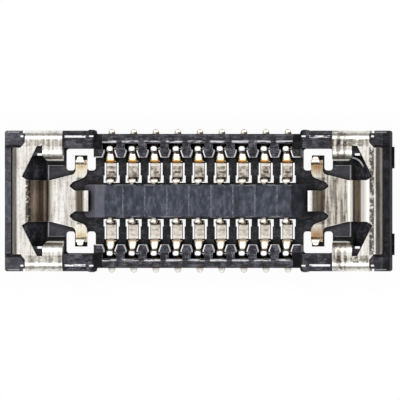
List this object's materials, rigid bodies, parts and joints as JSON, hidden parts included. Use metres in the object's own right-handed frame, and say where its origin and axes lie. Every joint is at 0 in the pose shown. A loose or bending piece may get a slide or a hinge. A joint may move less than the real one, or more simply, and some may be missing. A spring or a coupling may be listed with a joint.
{
  "type": "board connector receptacle",
  "caption": "Fine-pitch board-to-FPC socket: black moulding with a central island, two rows of folded contacts and a stamped metal fitting over each end.",
  "frame": {"origin": "centre of the soldering face, in the middle of both contact rows", "axes": "+X along the contact rows, +Y across them, +Z in the mating direction, away from the board"},
  "size_m": [0.0062, 0.0022, 0.0006],
  "materials": {
    "housing_plastic": "moulded glass-filled LCP, blue-black",
    "contact_metal": "thin gold over nickel on copper alloy",
    "fitting_metal": "nickel-plated copper alloy with drawn streaks, pale gold on the arms"
  },
  "bodies": {
    "root": {"housing": "housing_plastic", "upper_contact_1": "contact_metal", "upper_contact_2": "contact_metal", "upper_contact_3": "contact_metal", "upper_contact_4": "contact_metal", "upper_contact_5": "contact_metal", "upper_contact_6": "contact_metal", "upper_contact_7": "contact_metal", "upper_contact_8": "contact_metal", "upper_contact_9": "contact_metal", "lower_contact_1": "contact_metal", "lower_contact_2": "contact_metal", "lower_contact_3": "contact_metal", "lower_contact_4": "contact_metal", "lower_contact_5": "contact_metal", "lower_contact_6": "contact_metal", "lower_contact_7": "contact_metal", "lower_contact_8": "contact_metal", "lower_contact_9": "contact_metal", "left_end_fitting": "fitting_metal", "right_end_fitting": "fitting_metal"}
  },
  "joints": []
}
